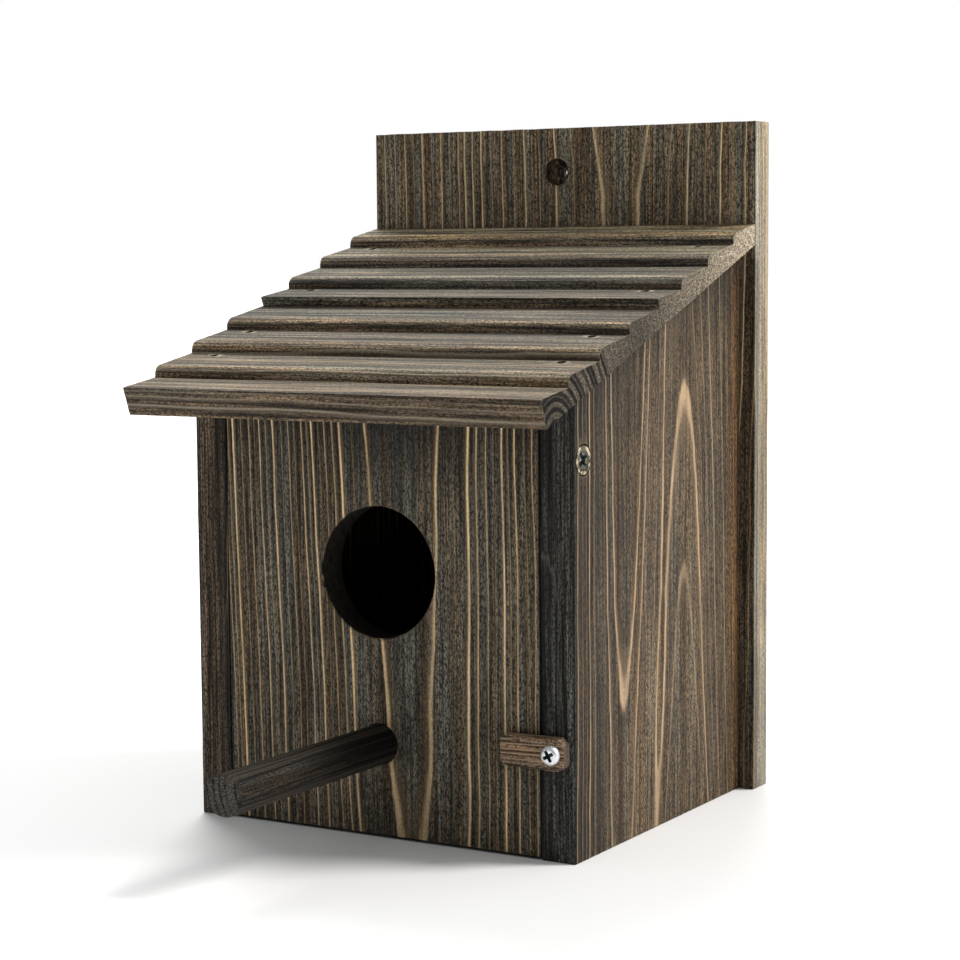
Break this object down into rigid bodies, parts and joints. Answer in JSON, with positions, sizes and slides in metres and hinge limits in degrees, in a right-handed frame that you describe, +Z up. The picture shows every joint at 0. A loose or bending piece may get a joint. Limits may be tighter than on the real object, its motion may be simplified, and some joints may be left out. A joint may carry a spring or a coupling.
{
  "type": "birdhouse",
  "caption": "Wall-hung wooden birdhouse with a stepped pent roof, a round entrance, a dowel perch and a front panel that swings open past a turn button.",
  "frame": {"origin": "on the ground, under the middle of the whole object's box", "axes": "+Z up, -Y the way the front looks, +X to the right of someone who faces the front"},
  "size_m": [0.1402, 0.1948, 0.21],
  "materials": {
    "board_dark": "stained and brushed softwood, matt",
    "board_brown": "stained and brushed softwood, matt",
    "board_grey": "stained and brushed softwood, matt",
    "dowel_dark": "stained and brushed softwood, matt",
    "button_brown": "stained and brushed softwood, matt",
    "bright_zinc": "bright zinc plate, satin",
    "bronzed_steel": "dark bronzed plate, worn to brighter metal on the edges of the recess",
    "dark_brad": "dull, dark"
  },
  "bodies": {
    "house": {"back_board": "board_dark", "left_side": "board_brown", "right_side": "board_brown", "floor_board": "board_brown", "roof_lower_plank": "board_grey", "roof_upper_plank": "board_grey", "turn_button_screw": "bright_zinc", "back_screws": "bronzed_steel", "roof_brads": "dark_brad"},
    "front": {"front_panel": "board_dark", "perch": "dowel_dark", "left_pivot_screw": "bronzed_steel", "right_pivot_screw": "bronzed_steel"},
    "button": {"turn_button": "button_brown"}
  },
  "joints": [
    {"name": "front_swing", "type": "hinge", "parent": "house", "child": "front", "pos_m": [0, -0.0163, 0.113], "axis": [-1, 0, 0], "range_deg": [0, 95]},
    {"name": "button_turn", "type": "hinge", "parent": "house", "child": "button", "pos_m": [0.0595, -0.02365, 0.0314], "axis": [0, -1, 0], "continuous": true}
  ]
}
